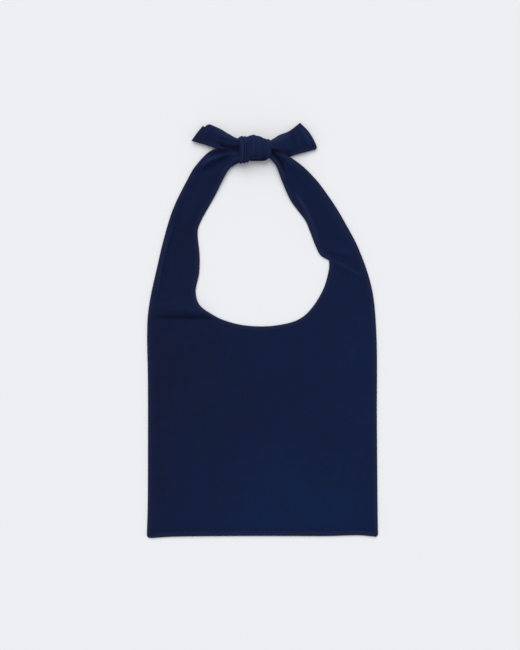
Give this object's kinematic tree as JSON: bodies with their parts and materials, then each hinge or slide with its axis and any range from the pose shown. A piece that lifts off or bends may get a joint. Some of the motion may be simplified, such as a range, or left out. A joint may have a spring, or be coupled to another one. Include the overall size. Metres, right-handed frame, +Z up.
{
  "type": "bib",
  "caption": "Flat cloth bib: a rectangular panel with a scooped neckline and two straps cut in one with it, knotted above the neck opening.",
  "frame": {"origin": "middle of the bib's outline, on the surface that its back cloth lies on", "axes": "+Z up out of the front cloth, +Y from the hem to the knot, +X to the right seen from the front"},
  "size_m": [0.2413, 0.4359, 0.016],
  "materials": {
    "navy_cotton": "matt plain weave",
    "interlining": "matt brushed",
    "sewing_thread": "satin"
  },
  "bodies": {
    "panel": {"front_panel": "navy_cotton", "back_panel": "navy_cotton", "absorbent_interlining": "interlining", "panel_needle_thread": "sewing_thread", "panel_bobbin_thread": "sewing_thread", "panel_seam_thread": "sewing_thread"},
    "neck_loop": {"left_strap_front": "navy_cotton", "left_strap_back": "navy_cotton", "left_strap_needle_thread": "sewing_thread", "left_strap_bobbin_thread": "sewing_thread", "left_strap_seam_thread": "sewing_thread", "right_strap_front": "navy_cotton", "right_strap_back": "navy_cotton", "right_strap_needle_thread": "sewing_thread", "right_strap_bobbin_thread": "sewing_thread", "right_strap_seam_thread": "sewing_thread", "knot_right_strap_wrap": "navy_cotton", "knot_left_strap_wrap": "navy_cotton", "left_strap_gathered_end": "navy_cotton", "left_tail_gathered_end": "navy_cotton", "right_strap_gathered_end": "navy_cotton", "right_tail_gathered_end": "navy_cotton"},
    "left_tail": {"left_tail_front": "navy_cotton", "left_tail_back": "navy_cotton", "left_tail_needle_thread": "sewing_thread", "left_tail_bobbin_thread": "sewing_thread", "left_tail_seam_thread": "sewing_thread"},
    "right_tail": {"right_tail_front": "navy_cotton", "right_tail_back": "navy_cotton", "right_tail_needle_thread": "sewing_thread", "right_tail_bobbin_thread": "sewing_thread", "right_tail_seam_thread": "sewing_thread"}
  },
  "joints": [
    {"name": "neck_fold", "type": "hinge", "parent": "panel", "child": "neck_loop", "pos_m": [0, 0.04, 0.002], "axis": [1, 0, 0], "range_deg": [-90, 150]},
    {"name": "left_tail_lift", "type": "hinge", "parent": "neck_loop", "child": "left_tail", "pos_m": [-0.031, 0.1965, 0.01], "axis": [0.2823, 0.9593, 0], "range_deg": [0, 90]},
    {"name": "right_tail_lift", "type": "hinge", "parent": "neck_loop", "child": "right_tail", "pos_m": [0.014, 0.194, 0.01], "axis": [0.2605, -0.9655, 0], "range_deg": [0, 90]}
  ]
}
